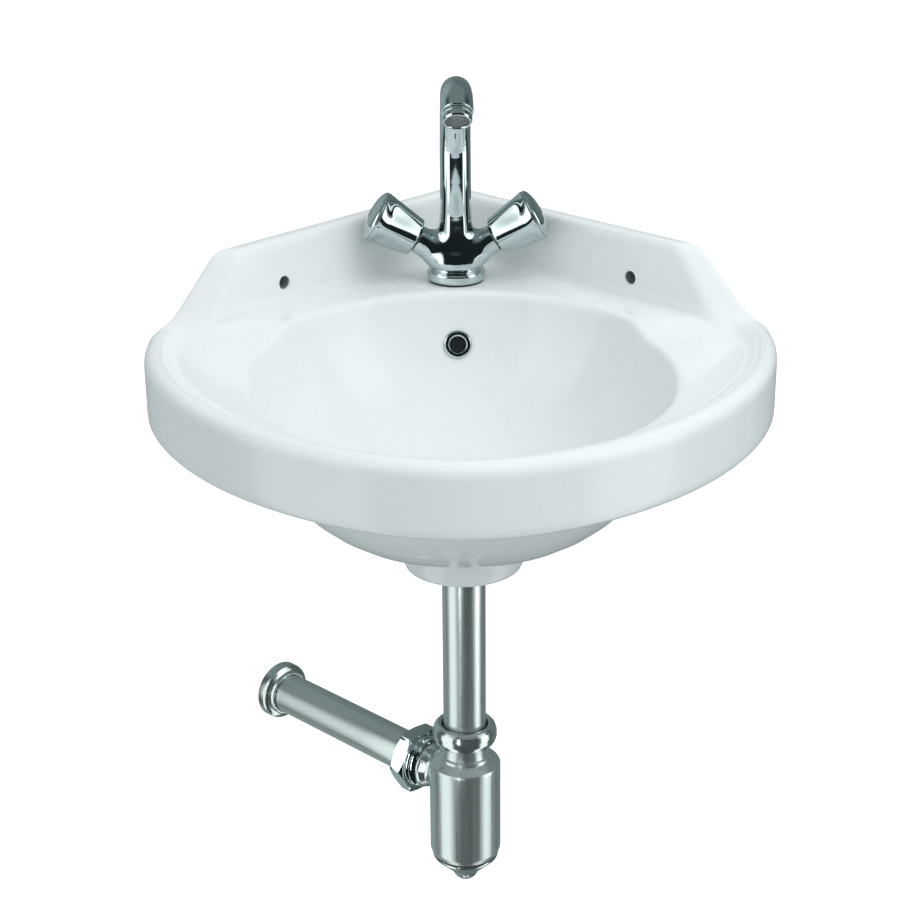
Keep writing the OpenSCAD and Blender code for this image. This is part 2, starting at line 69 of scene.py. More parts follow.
class Nodes:
    """Short calls that build one material's node tree."""

    def __init__(self, name):
        self.material = bpy.data.materials.new(name)
        self.material.use_nodes = True
        self.tree = self.material.node_tree
        self.shader = self.tree.nodes["Principled BSDF"]
        self.coords = self.tree.nodes.new("ShaderNodeTexCoord").outputs["Object"]

    def set(self, **values):
        for key, value in values.items():
            socket = self.shader.inputs[key.replace("_", " ")]
            socket.default_value = (*value, 1) if isinstance(value, tuple) else value
        return self

    def mapped(self, scale, turned=(0, 0, 0)):
        node = self.tree.nodes.new("ShaderNodeMapping")
        node.vector_type = "TEXTURE" if turned != (0, 0, 0) else "POINT"
        node.inputs["Rotation"].default_value = turned
        stretch = scale if turned == (0, 0, 0) else tuple(1 / s for s in scale)
        node.inputs["Scale"].default_value = stretch
        self.tree.links.new(self.coords, node.inputs["Vector"])
        return node.outputs["Vector"]

    def noise(self, scale, detail=3.0, rough=0.5, vector=None):
        node = self.tree.nodes.new("ShaderNodeTexNoise")
        node.inputs["Scale"].default_value = scale
        node.inputs["Detail"].default_value = detail
        node.inputs["Roughness"].default_value = rough
        self.tree.links.new(vector or self.coords, node.inputs["Vector"])
        return node.outputs["Fac"]

    def ramp(self, factor, stops):
        node = self.tree.nodes.new("ShaderNodeValToRGB")
        elements = node.color_ramp.elements
        while len(elements) < len(stops):
            elements.new(0.5)
        for element, (place, value) in zip(elements, stops):
            element.position = place
            element.color = (*value, 1) if isinstance(value, tuple) else (value, value, value, 1)
        self.tree.links.new(factor, node.inputs["Fac"])
        return node.outputs["Color"]

    def link(self, output, socket):
        self.tree.links.new(output, self.shader.inputs[socket])

    def bump(self, *layers):
        """Each layer is a height, its strength and its depth in metres."""
        normal = None
        for height, strength, depth in layers:
            node = self.tree.nodes.new("ShaderNodeBump")
            node.inputs["Strength"].default_value = strength
            node.inputs["Distance"].default_value = depth
            self.tree.links.new(height, node.inputs["Height"])
            if normal:
                self.tree.links.new(normal, node.inputs["Normal"])
            normal = node.outputs["Normal"]
        self.link(normal, "Normal")


def glaze_material():
    n = Nodes("glaze").set(Coat_Weight=0.35, Coat_Roughness=0.06, Coat_IOR=1.5, Specular_IOR_Level=0.22)
    n.link(n.ramp(n.noise(7, 4), [(0.3, (0.81, 0.845, 0.855)), (0.7, (0.835, 0.865, 0.872))]), "Base Color")
    n.link(n.ramp(n.noise(32, 3), [(0.3, 0.24), (0.7, 0.32)]), "Roughness")
    n.bump((n.noise(14, 1), 0.12, 0.0006), (n.noise(300, 1), 0.02, 0.0001))
    return n.material


def chrome_material():
    n = Nodes("chrome_polished").set(Metallic=1.0)
    n.link(n.ramp(n.noise(40, 4), [(0.3, (0.55, 0.63, 0.635)), (0.7, (0.62, 0.695, 0.70))]), "Base Color")
    n.link(n.ramp(n.noise(110, 4, 0.65), [(0.3, 0.035), (0.7, 0.085)]), "Roughness")
    n.bump((n.noise(75, 2), 0.12, 0.0004), (n.noise(900, 3), 0.03, 0.00005))
    return n.material


def drawn_material(name, turned=(0, 0, 0), rough=(0.24, 0.34), metallic=0.84):
    """Satin chrome over drawn brass tube, with a faint grain along the tube."""
    n = Nodes(name).set(Metallic=metallic)
    streak = n.noise(1, 4, 0.6, n.mapped((420, 420, 7), turned))
    n.link(n.ramp(streak, [(0.3, (0.44, 0.51, 0.50)), (0.7, (0.54, 0.60, 0.59))]), "Base Color")
    n.link(n.ramp(streak, [(0.3, rough[0]), (0.7, rough[1])]), "Roughness")
    n.bump((streak, 0.10, 0.0002), (n.noise(60, 3), 0.10, 0.0004))
    return n.material


def metal_material(name, low, high, rough, grain=260):
    n = Nodes(name).set(Metallic=1.0)
    n.link(n.ramp(n.noise(grain / 3, 4, 0.6), [(0.3, low), (0.7, high)]), "Base Color")
    n.link(n.ramp(n.noise(grain, 4, 0.65), [(0.3, rough[0]), (0.7, rough[1])]), "Roughness")
    n.bump((n.noise(grain * 4, 3), 0.12, 0.0001))
    return n.material


def dull_material(name, low, high, rough, grain=300, depth=0.0002):
    n = Nodes(name)
    n.link(n.ramp(n.noise(grain / 4, 4), [(0.3, low), (0.7, high)]), "Base Color")
    n.link(n.ramp(n.noise(grain, 3), [(0.3, rough[0]), (0.7, rough[1])]), "Roughness")
    n.bump((n.noise(grain * 3, 3), 0.2, depth))
    return n.material


OUTLET_TURN = (0, math.radians(90), math.radians(135))
GLAZE = glaze_material()
CHROME = chrome_material()
DRAWN = drawn_material("chrome_drawn")
DRAWN_OUTLET = drawn_material("chrome_drawn_outlet", OUTLET_TURN)
BRASS = metal_material("brass", (0.58, 0.42, 0.19), (0.70, 0.54, 0.27), (0.24, 0.42))
STEEL = metal_material("steel", (0.50, 0.51, 0.50), (0.63, 0.64, 0.62), (0.30, 0.48))
SATIN = drawn_material("chrome_satin_turned", rough=(0.12, 0.20), metallic=0.88)
# Painted shade: the unglazed bores of the fixing holes are painted dark grey to stand in for the shade inside
# them
HOLE_PAINTED_SHADE = dull_material("hole_side_painted_shade", (0.16, 0.20, 0.21), (0.24, 0.28, 0.29), (0.4, 0.6))
# Painted shade: the glazed overflow pocket is painted near-black to stand in for the shade down the channel
CHANNEL_PAINTED_SHADE = dull_material("overflow_channel_painted_shade", (0.035, 0.04, 0.04), (0.06, 0.065, 0.065), (0.5, 0.7))
DISC = dull_material("valve_ceramic", (0.74, 0.72, 0.66), (0.82, 0.80, 0.74), (0.22, 0.36))
RUBBER = dull_material("rubber", (0.018, 0.018, 0.020), (0.035, 0.035, 0.038), (0.55, 0.75))
PLASTIC = dull_material("plastic", (0.26, 0.28, 0.28), (0.34, 0.36, 0.36), (0.35, 0.50))
SLOTS = {"glaze": GLAZE, "chrome_polished": CHROME, "chrome_satin": DRAWN, "brass": BRASS, "steel": STEEL,
         "valve_ceramic": DISC, "rubber": RUBBER, "plastic": PLASTIC}

# ------------------------------------------------------------- mesh makers


def place(*steps):
    """A matrix from steps such as ("move", x, y, z) and ("turn", axis, degrees), outermost first."""
    total = Matrix.Identity(4)
    for step in steps:
        if step[0] == "move":
            total = total @ Matrix.Translation(Vector(step[1:]))
        else:
            total = total @ Matrix.Rotation(math.radians(step[2]), 4, step[1])
    return total


def add_piece(name, parts, body, slot, nodes=(), material=None, crease=40, normals=None):
    """One object from (vertices in mm, faces) parts, riding on a body and standing for CAD nodes."""
    verts, faces = [], []
    for points, polygons in parts:
        start = len(verts)
        verts.extend(map(tuple, np.asarray(points, float) * MM))
        faces.extend(tuple(start + i for i in polygon) for polygon in polygons)
    mesh = bpy.data.meshes.new(name)
    mesh.from_pydata(verts, [], faces)
    mesh.validate()
    piece = bpy.data.objects.new(name, mesh)
    scene.collection.objects.link(piece)
    mesh.materials.append(material or SLOTS[slot])
    if normals is None:
        finish_mesh(mesh, crease)
    else:
        mesh.shade_smooth()
        mesh.normals_split_custom_set_from_vertices(normals)
    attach(piece, body)
    if nodes:
        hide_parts(*nodes)
    return piece


def finish_mesh(mesh, crease, merge=2e-7):
    """Joins doubled points, faces outward, and shades smooth up to the crease angle."""
    bm = bmesh.new()
    bm.from_mesh(mesh)
    bmesh.ops.remove_doubles(bm, verts=bm.verts, dist=merge)
    bmesh.ops.recalc_face_normals(bm, faces=bm.faces)
    limit = math.radians(crease)
    for face in bm.faces:
        face.smooth = True
    for edge in bm.edges:
        edge.smooth = len(edge.link_faces) == 2 and edge.calc_face_angle(0) < limit
    bm.to_mesh(mesh)
    bm.free()


def moved(part, matrix):
    points = np.asarray(part[0], float)
    spun = points @ np.array(matrix.to_3x3()).T + np.array(matrix.translation)
    return spun, part[1]


def rounded(profile, steps=4, closed=True):
    """Corners given as (r, z, fillet) become arcs. A corner without a fillet stays sharp."""
    corners = [np.array(c[:2], float) for c in profile]
    fillets = [c[2] if len(c) > 2 else 0 for c in profile]
    count = len(corners)
    out = []
    for i, (corner, fillet) in enumerate(zip(corners, fillets)):
        ends = not closed and i in (0, count - 1)
        if fillet <= 0 or ends:
            out.append(corner)
            continue
        before, after = corners[i - 1] - corner, corners[(i + 1) % count] - corner
        len_a, len_b = np.linalg.norm(before), np.linalg.norm(after)
        a, b = before / len_a, after / len_b
        half = math.acos(max(-1, min(1, float(a @ b)))) / 2
        cut = min(fillet / math.tan(half), 0.48 * len_a, 0.48 * len_b)
        radius = cut * math.tan(half)
        middle = corner + (a + b) / np.linalg.norm(a + b) * radius / math.sin(half)
        start, stop = corner + a * cut - middle, corner + b * cut - middle
        swing = math.atan2(start[0] * stop[1] - start[1] * stop[0], float(start @ stop))
        for k in range(steps + 1):
            t = swing * k / steps
            out.append(middle + np.array([start[0] * math.cos(t) - start[1] * math.sin(t),
                                          start[0] * math.sin(t) + start[1] * math.cos(t)]))
    return out


def grid_faces(rows, columns, close_rows, close_columns):
    faces = []
    for i in range(rows if close_rows else rows - 1):
        for j in range(columns if close_columns else columns - 1):
            ii, jj = (i + 1) % rows, (j + 1) % columns
            faces.append((i * columns + j, i * columns + jj, ii * columns + jj, ii * columns + j))
    return faces


def lathe(profile, matrix=Matrix.Identity(4), segments=128, steps=4, shape=None):
    """Turns a closed profile of (r, z, fillet) corners about Z. shape(angle, r, z) may change the radius."""
    outline = rounded(profile, steps)
    points = []
    for r, z in outline:
        for k in range(segments):
            a = 2 * math.pi * k / segments
            q = shape(a, r, z) if shape else r
            points.append((q * math.cos(a), q * math.sin(a), z))
    faces = grid_faces(len(outline), segments, True, True)
    on_axis = [abs(p[0]) < 1e-9 for p in outline]
    kept = []
    for index, face in enumerate(faces):
        row = index // segments
        if not (on_axis[row] and on_axis[(row + 1) % len(outline)]):
            kept.append(face)
    return moved((points, kept), matrix)


def box_part(low, high, matrix=Matrix.Identity(4), chamfer=0.2):
    """A bar with chamfered long edges, built from its two rings of eight points."""
    (x0, y0, z0), (x1, y1, z1) = low, high
    c = chamfer
    ring = [(y0 + c, z0), (y1 - c, z0), (y1, z0 + c), (y1, z1 - c), (y1 - c, z1), (y0 + c, z1), (y0, z1 - c),
            (y0, z0 + c)]
    points = [(x, y, z) for x in (x0, x1) for y, z in ring]
    faces = [tuple(range(8)), tuple(range(15, 7, -1))]
    faces += [(i, (i + 1) % 8, 8 + (i + 1) % 8, 8 + i) for i in range(8)]
    return moved((points, faces), matrix)


# -------------------------------------------------------------- the basin

HALF_W, FRONT_Y, WIDEST_Y = 228.0, 492.0, 250.0
APRON_H, SPLASH_H, SPLASH_T = 52.0, 48.0, 16.0
DRAIN_Y, BOWL_HALF_W, BOWL_BACK, BOWL_FRONT, BOWL_DEPTH = 302.0, 150.0, 160.0, 157.0, 118.0
CERAMIC_T, DECK_DROP, CORNER_R = 13.0, 8.0, 30.0
CORNER_RUN = CORNER_R * math.tan(math.radians(22.5))
WALL_RUN = HALF_W * ROOT2 - CORNER_RUN
BOWL_POWER, BOWL_ROUND, RIM_LIFT = 2.6, 0.62, 6.0
SEAT_Z, FLOOR_Z, BOSS_R, BOSS_Z = -120.0, -134.0, 43.5, -156.0
FRONT_POWER = 1.8


def ease(low, high, v):
    t = np.clip((v - low) / (high - low), 0, 1)
    return t * t * (3 - 2 * t)


def soft_min(a, b, k):
    h = np.maximum(k - np.abs(a - b), 0) / k
    return np.minimum(a, b) - h * h * k / 4


def soft_max(a, b, k):
    return -soft_min(-a, -b, k)


def basin_outline(wall_steps=72, corner_steps=16, front_steps=78):
    wall = [WALL_RUN * (1 - (1 - i / wall_steps) ** 1.15) / ROOT2 for i in range(wall_steps + 1)]
    right = [(t, -t) for t in wall]
    for i in range(1, corner_steps + 1):
        a = math.radians(45 * (1 - i / corner_steps))
        right.append((HALF_W - CORNER_R + CORNER_R * math.cos(a),
                      -HALF_W - CORNER_RUN + CORNER_R * math.sin(a)))
    for i in range(1, front_steps + 1):
        a = math.pi / 2 * i / front_steps
        right.append((HALF_W * max(math.cos(a), 0) ** (2 / FRONT_POWER),
                      -WIDEST_Y - (FRONT_Y - WIDEST_Y) * math.sin(a) ** (2 / FRONT_POWER)))
    return np.array(right + [(-x, y) for x, y in right[-2:0:-1]])


def bowl_reach(u):
    back = u[:, 1] > 0
    n = np.where(back, 2.0, 2.2)
    b = np.where(back, BOWL_BACK, BOWL_FRONT)
    return 1 / ((np.abs(u[:, 0]) / BOWL_HALF_W) ** n + (np.abs(u[:, 1]) / b) ** n) ** (1 / n)


def bowl_z(s, bottom):
    inside = np.clip(1 - np.clip(s, 0, 1) ** BOWL_POWER, 0, 1) ** BOWL_ROUND
    return np.where(s < 1, RIM_LIFT + (bottom - RIM_LIFT) * inside, RIM_LIFT + (s - 1) * 900)


def splash_z(x, y):
    off = (-y - np.abs(x)) / ROOT2
    run = (np.abs(x) - y) / ROOT2
    face = SPLASH_H - (off - SPLASH_T) * 7
    end = SPLASH_H - (run - 260) - 0.9 * off
    return soft_min(soft_min(SPLASH_H, face, 6), end, 6)


def top_z(x, y, inset):
    deck = np.maximum(-DECK_DROP * ease(213, 240, -y), -DECK_DROP * ease(11, 25, inset))
    return soft_max(deck, splash_z(x, y), 12)


def resample(r, z, count):
    """Even steps along each row of the section."""
    step = np.hypot(np.diff(r, axis=1), np.diff(z, axis=1))
    run = np.concatenate([np.zeros((len(r), 1)), np.cumsum(step, axis=1)], axis=1)
    out_r, out_z = np.empty((len(r), count)), np.empty((len(r), count))
    for i in range(len(r)):
        t = np.linspace(0, run[i, -1], count)
        out_r[i], out_z[i] = np.interp(t, run[i], r[i]), np.interp(t, run[i], z[i])
    return out_r, out_z, run[:, -1]


def soften(values, sigma, held):
    """Gaussian smoothing along rows, with sigma in samples. The ends stay where they are."""
    reach = int(3 * sigma) + 1
    kernel = np.exp(-0.5 * (np.arange(-reach, reach + 1) / sigma) ** 2)
    kernel /= kernel.sum()
    left = 2 * values[:, :1] - values[:, reach:0:-1]
    right = 2 * values[:, -1:] - values[:, -2:-reach - 2:-1]
    padded = np.concatenate([left, values, right], axis=1)
    smooth = sum(w * padded[:, k:k + values.shape[1]] for k, w in enumerate(kernel))
    return values * held + smooth * (1 - held)


def basin_parts():
    outline = basin_outline()
    ray = outline - np.array([0, -DRAIN_Y])
    reach = np.hypot(ray[:, 0], ray[:, 1])
    u = ray / reach[:, None]
    bowl_r = bowl_reach(u)
    wall = ease(-240.4, -219.2, outline[:, 1])
    lean = 1 + wall * (np.maximum(0.6, (np.abs(u[:, 0]) + u[:, 1]) / ROOT2) - 1)
    edge_r = 9 - 6 * wall
    skirt = CERAMIC_T / lean
    gap = reach - skirt - bowl_r - CERAMIC_T
    deck_y = ease(213, 240, -outline[:, 1])
    hollow = np.maximum(1.5, (APRON_H - DECK_DROP * deck_y - CERAMIC_T) * ease(8, 40, gap))

    def at(r):
        return u[:, 0] * r, -DRAIN_Y + u[:, 1] * r

    def surface(r):
        x, y = at(r)
        return soft_min(top_z(x, y, (reach - r) * lean), bowl_z(r / bowl_r, -BOWL_DEPTH), 9)

    # The top, from the lip of the waste recess to the outer edge
    columns = []
    for t in np.linspace(0, 1, 160):
        r = 34 + (bowl_r * 1.05 - 34) * math.sin(math.pi / 2 * t) ** 0.9
        columns.append((r, surface(r)))
    inner = reach - bowl_r * 1.05 - edge_r / lean
    for t in np.linspace(0, 1, 90)[1:]:
        r = bowl_r * 1.05 + inner * t
        columns.append((r, surface(r)))
    edge_at = reach - edge_r / lean
    ex, ey = at(edge_at)
    edge_top = top_z(ex, ey, edge_r)
    for a in np.radians(np.arange(82, -1, -8.2)):
        columns.append((reach - edge_r * (1 - np.cos(a)) / lean, edge_top - edge_r * (1 - np.sin(a))))
    for z in (-14, -22):
        columns.append((reach, np.full_like(reach, z)))
    r = np.stack([c[0] for c in columns], axis=1)
    z = np.stack([c[1] for c in columns], axis=1)
    count = 190
    r, z, length = resample(r, z, count)
    held = np.clip(1 - np.arange(count) / 4, 0, 1)[None] + wall[:, None] * np.clip(
        (np.arange(count) - count + 22) / 8, 0, 0.85)[None]
    sigma = 2.6 / (np.mean(length) / count)
    r, z = soften(r, sigma, np.clip(held, 0, 1)), soften(z, sigma, np.clip(held, 0, 1))
    r = np.minimum(r, reach[:, None])
    top = [(r[:, k], z[:, k]) for k in range(count)]

    def flat(radius, height):
        return np.full_like(reach, radius), np.full_like(reach, height)

    lip_z = z[:, 0]
    throat = [flat(22.5, FLOOR_Z), flat(22.5, -128), flat(22.5, -121.6), flat(22.8, -120.6), flat(23.8, SEAT_Z),
              flat(28, SEAT_Z), flat(32.3, SEAT_Z), flat(32.9, -119.4)]
    throat += [(np.full_like(reach, 33.0), lip_z - 1.1), (np.full_like(reach, 33.3), lip_z - 0.35)]

    base = -APRON_H
    lower = [(reach, np.full_like(reach, v)) for v in (-30, -38, -44)]
    for a in np.radians((15, 32, 50, 68, 90)):
        lower.append((reach - 5 * (1 - np.cos(a)) / lean, np.full_like(reach, base + 5 * (1 - np.sin(a)))))
    lower.append((reach - 7 / lean, np.full_like(reach, base)))
    rim_in = reach - skirt
    for a in np.radians((90, 60, 30, 0)):
        lower.append((rim_in + 3 * (1 - np.cos(a)) / lean, base + np.minimum(3, hollow) * (1 - np.sin(a))))
    roof = base + hollow
    lower += [(rim_in - 0.4, base + hollow * 0.6), (rim_in - 1, roof - np.minimum(2.5, hollow / 3)),
              (rim_in - 3, roof - np.minimum(0.6, hollow / 5)),
              (rim_in - np.minimum(8, np.maximum(3, gap / 3)), roof)]
    under_r = bowl_r + CERAMIC_T
    lower.append((under_r + 1, roof))
    for s in (0.985, 0.96, 0.93, 0.89, 0.84, 0.78, 0.71, 0.64, 0.56, 0.48, 0.42):
        lower.append((under_r * s, np.minimum(roof, bowl_z(np.full_like(reach, s), FLOOR_Z))))
    low = list(zip(*lower))
    lr, lz = np.stack(low[0], axis=1), np.stack(low[1], axis=1)
    boss = [flat(BOSS_R + 7, FLOOR_Z - 1), flat(BOSS_R + 3.4, -136.2), flat(BOSS_R + 1, -138.6),
            flat(BOSS_R, -142), flat(BOSS_R, -147), flat(BOSS_R, BOSS_Z + 4), flat(BOSS_R - 1.1, BOSS_Z + 1.4),
            flat(BOSS_R - 3.6, BOSS_Z), flat(37, BOSS_Z), flat(36.2, BOSS_Z + 0.4), flat(36, BOSS_Z + 1.4),
            flat(36, FLOOR_Z - 1.5), flat(35.2, FLOOR_Z)]
    under = [(lr[:, k], lz[:, k]) for k in range(lr.shape[1])]
    section = throat + top + under + boss
    points = []
    for radius, height in section:
        x, y = at(radius)
        points.append(np.stack([x, y, height], axis=1))
    return np.concatenate(points), grid_faces(len(section), len(outline), True, True)


OVERFLOW_Z = -39.0
overflow_s = (1 - ((RIM_LIFT - OVERFLOW_Z) / (RIM_LIFT + BOWL_DEPTH)) ** (1 / BOWL_ROUND)) ** (1 / BOWL_POWER)
AT_OVERFLOW = place(("move", 0, -DRAIN_Y + overflow_s * BOWL_BACK, OVERFLOW_Z), ("turn", "X", 65))
TAP_Y = -110.0
AT_TAP = place(("move", 0, TAP_Y, 0))
AT_DRAIN = place(("move", 0, -DRAIN_Y, 0))


def cut(piece, cutter_parts):
    """Takes closed cutters away from a piece and keeps the mouths sharp-edged."""
    verts, faces = [], []
    for points, polygons in cutter_parts:
        start = len(verts)
        verts.extend(map(tuple, np.asarray(points, float) * MM))
        faces.extend(tuple(start + i for i in polygon) for polygon in polygons)
    mesh = bpy.data.meshes.new("cutter")
    mesh.from_pydata(verts, [], faces)
    finish_mesh(mesh, 30)
    cutter = bpy.data.objects.new("cutter", mesh)
    scene.collection.objects.link(cutter)
    cutter.data.materials.append(piece.data.materials[0])
    modifier = piece.modifiers.new("holes", "BOOLEAN")
    modifier.object = cutter
    modifier.solver = "EXACT"
    bpy.context.view_layer.update()
    graph = bpy.context.evaluated_depsgraph_get()
    made = bpy.data.meshes.new_from_object(piece.evaluated_get(graph))
    piece.modifiers.clear()
    piece.data = made
    bpy.data.objects.remove(cutter)
    finish_mesh(made, 42)


HOLE_XY, HOLE_Z = 146.0, 15.0
AT_HOLES = [place(("move", side * HOLE_XY, -HOLE_XY, HOLE_Z), ("turn", "Z", -side * 45), ("turn", "X", 90))
            for side in (-1, 1)]


def wall_hole(matrix):
    outline = [(0, -3), (5, -3), (5, 19.6, 1.5), (6.4, 22.4, 1.0), (9.5, 25), (9.5, 40), (0, 40)]
    return lathe(outline, matrix, 48)


basin = add_piece("basin_glazed", [basin_parts()], "root", "glaze", ["basin"], crease=60)
cut(basin, [
    lathe([(0, -60), (17.5, -60), (17.5, 30), (0, 30)], AT_TAP, 72),
    lathe([(0, -9), (8.5, -9), (8.5, 14), (0, 14)], AT_OVERFLOW, 48),
    wall_hole(AT_HOLES[0]), wall_hole(AT_HOLES[1])])
# Paints the faces inside the overflow pocket and the fixing holes dark, as painted shade
for painted_shade_material, matrices, radius, z_from, z_to in ((CHANNEL_PAINTED_SHADE, [AT_OVERFLOW], 8.6, -12, -1),
                                                        (HOLE_PAINTED_SHADE, AT_HOLES, 5.03, 0.6, 30)):
    basin.data.materials.append(painted_shade_material)
    for matrix in matrices:
        inverse = matrix.inverted()
        for face in basin.data.polygons:
            x, y, z = inverse @ (face.center / MM)
            if z_from < z < z_to and math.hypot(x, y) < radius:
                face.material_index = len(basin.data.materials) - 1

add_piece("overflow_ring_turned", [lathe([
    (6.2, -8, 0.3), (8.4, -8, 0.3), (8.4, 1.2, 0.2), (10.6, 1.2, 0.3), (11, 1.9, 0.6), (9.6, 2.8, 0.7),
    (7.2, 2.8, 0.8), (6.2, 1.8, 0.5)], AT_OVERFLOW, 96)], "root", "chrome_polished", ["overflow_ring"])

# --------------------------------------------------------------- the mixer

ARM_Z, ARM_END, ARM_TILT = 16.0, 35.5, 30.0
SPOUT_H, BEND_R, NOSE_R, NOSE_TURN, NOSE_RUN, NOSE_LEN = 160.0, 60.0, 16.0, 45.0, 8.0, 6.0


def at_arm(side):
    return AT_TAP @ place(("move", 0, 0, ARM_Z), ("turn", "Y", side * (90 - ARM_TILT)))


AT_NOSE = AT_TAP @ place(("move", 0, -BEND_R - NOSE_RUN, SPOUT_H - NOSE_R), ("turn", "X", NOSE_TURN),
                         ("move", 0, 0, NOSE_R), ("turn", "X", 90))


def spout_path():
    """Points (y, z) down the middle of the spout, about the tap's axis, with the radius at each."""
    path = [(0.0, z, r) for z, r in ((20, 12.4), (40, 12.4), (60, 12.2), (80, 12.0))]
    for a in np.radians(np.arange(0, 91, 5)):
        path.append((-BEND_R * (1 - math.cos(a)), SPOUT_H - BEND_R + BEND_R * math.sin(a),
                     12.0 - 0.5 * math.sin(a)))
    nose_y = -BEND_R - NOSE_RUN
    for a in np.radians(np.arange(0, NOSE_TURN + 1, 7.5)):
        path.append((nose_y - NOSE_R * math.sin(a), SPOUT_H - NOSE_R * (1 - math.cos(a)), 11.7 + 0.3 * a))
    y, z, _ = path[-1]
    a = math.radians(NOSE_TURN)
    path.append((y - (NOSE_LEN + 4) * math.cos(a), z - (NOSE_LEN + 4) * math.sin(a), 12.0))
    return np.array(path)


PATH = spout_path()
# Height and radius of the shell round the foot of the column
SHELL = np.array([(9, 18.9), (12, 19.2), (13.5, 20.0), (15.5, 20.9), (18, 21.0), (21, 20.3), (24, 18.9),
                  (27, 17.2), (30, 15.8), (33, 14.7), (37, 13.5), (41, 12.7), (46, 11.8), (52, 10.4),
                  (60, 7.5), (70, 3.0)])


def mixer_field(p):
    """Signed distance, roughly, to the mixer's one-piece body, about the tap's axis."""
    x, y, z = p[:, 0], p[:, 1], p[:, 2]
    tube = np.full(len(p), 1e9)
    for (y0, z0, r0), (y1, z1, r1) in zip(PATH[:-1], PATH[1:]):
        dy, dz = y1 - y0, z1 - z0
        t = np.clip(((y - y0) * dy + (z - z0) * dz) / (dy * dy + dz * dz), 0, 1)
        far = np.sqrt(x * x + (y - y0 - t * dy) ** 2 + (z - z0 - t * dz) ** 2)
        tube = np.minimum(tube, far - (r0 + t * (r1 - r0)))
    radius = np.interp(z, SHELL[:, 0], SHELL[:, 1])
    shell = (np.sqrt(x * x + y * y) - radius) * 0.85
    shell = np.maximum(shell, z - 66)
    field = soft_min(tube, shell, 3)
    slope = math.radians(ARM_TILT)
    for side in (-1, 1):
        along = side * x * math.cos(slope) + (z - ARM_Z) * math.sin(slope)
        lift = -side * x * math.sin(slope) + (z - ARM_Z) * math.cos(slope)
        cone = 12.6 - 1.5 * ease(8, ARM_END, along)
        arm = soft_max(np.sqrt(y * y + lift * lift) - cone, along - ARM_END, 1.6)
        arm = np.maximum(arm, -along - 4)
        field = soft_min(field, arm, 9)
    field = soft_max(field, 11.4 - z, 1.0)
    tip_y, tip_z, _ = PATH[-2]
    a = math.radians(NOSE_TURN)
    past = -(y - tip_y) * math.cos(a) - (z - tip_z) * math.sin(a) - NOSE_LEN
    near = (y < -60)
    return np.where(near, soft_max(field, past, 1.0), field)


def gradient(field, p, h=0.05):
    g = np.empty_like(p)
    for k in range(3):
        d = np.zeros(3)
        d[k] = h
        g[:, k] = (field(p + d) - field(p - d)) / (2 * h)
    return g


def net_surface(field, low, high, step):
    """Surface nets over a box, with every point then moved on to the field's zero."""
    counts = [int(math.ceil((b - a) / step)) + 1 for a, b in zip(low, high)]
    axes = [a + step * np.arange(n) for a, n in zip(low, counts)]
    spots = np.stack(np.meshgrid(*axes, indexing="ij"), axis=-1).reshape(-1, 3)
    values = np.concatenate([field(part) for part in np.array_split(spots, 12)]).reshape(counts)
    inside = values < 0
    total = np.zeros([n - 1 for n in counts] + [3])
    hits = np.zeros([n - 1 for n in counts])
    spots = spots.reshape(counts + [3])
    for axis in range(3):
        a = [slice(None)] * 3
        b = [slice(None)] * 3
        a[axis], b[axis] = slice(0, -1), slice(1, None)
        va, vb = values[tuple(a)], values[tuple(b)]
        change = (va < 0) != (vb < 0)
        t = np.where(change, va / np.where(change, va - vb, 1), 0)
        point = spots[tuple(a)] * (1 - t[..., None]) + spots[tuple(b)] * t[..., None]
        others = [k for k in range(3) if k != axis]
        for i in (0, 1):
            for j in (0, 1):
                pick = [slice(None)] * 3
                for k, o in zip(others, (i, j)):
                    pick[k] = slice(o, counts[k] - 1 + o)
                total += np.where(change[tuple(pick)][..., None], point[tuple(pick)], 0)
                hits += change[tuple(pick)]
    used = hits > 0
    index = -np.ones(used.shape, int)
    index[used] = np.arange(used.sum())
    points = total[used] / hits[used][:, None]
    faces = []
    for axis in range(3):
        b, c = [(1, 2), (2, 0), (0, 1)][axis]
        core = [slice(1, -1)] * 3
        core[axis] = slice(0, -1)
        ahead = list(core)
        ahead[axis] = slice(1, None)
        va, vb = inside[tuple(core)], inside[tuple(ahead)]
        where = np.argwhere(va != vb)
        base = where.copy()
        base[:, b] += 1
        base[:, c] += 1
        for place_at, flag in zip(base, va[va != vb]):
            ring = []
            for db, dc in ((-1, -1), (0, -1), (0, 0), (-1, 0)):
                cell = place_at.copy()
                cell[b] += db
                cell[c] += dc
                ring.append(int(index[tuple(cell)]))
            faces.append(tuple(ring if flag else ring[::-1]))
    return points, faces


def settle(field, points, faces, rounds=6):
    """Evens the net out along the surface, then puts it on the field's zero."""
    pairs = np.array([(f[i], f[(i + 1) % 4]) for f in faces for i in range(4)])
    for turn_no in range(rounds):
        if turn_no < rounds - 2:
            total = np.zeros_like(points)
            degree = np.zeros(len(points))
            np.add.at(total, pairs[:, 0], points[pairs[:, 1]])
            np.add.at(degree, pairs[:, 0], 1)
            drift = total / degree[:, None] - points
            g = gradient(field, points)
            normal = g / np.linalg.norm(g, axis=1)[:, None]
            points = points + 0.5 * (drift - normal * np.sum(drift * normal, axis=1)[:, None])
        g = gradient(field, points)
        size = np.sum(g * g, axis=1)
        move = field(points) / np.maximum(size, 0.2)
        points = points - g * np.clip(move, -0.6, 0.6)[:, None]
    g = gradient(field, points, 0.12)
    return points, g / np.linalg.norm(g, axis=1)[:, None]


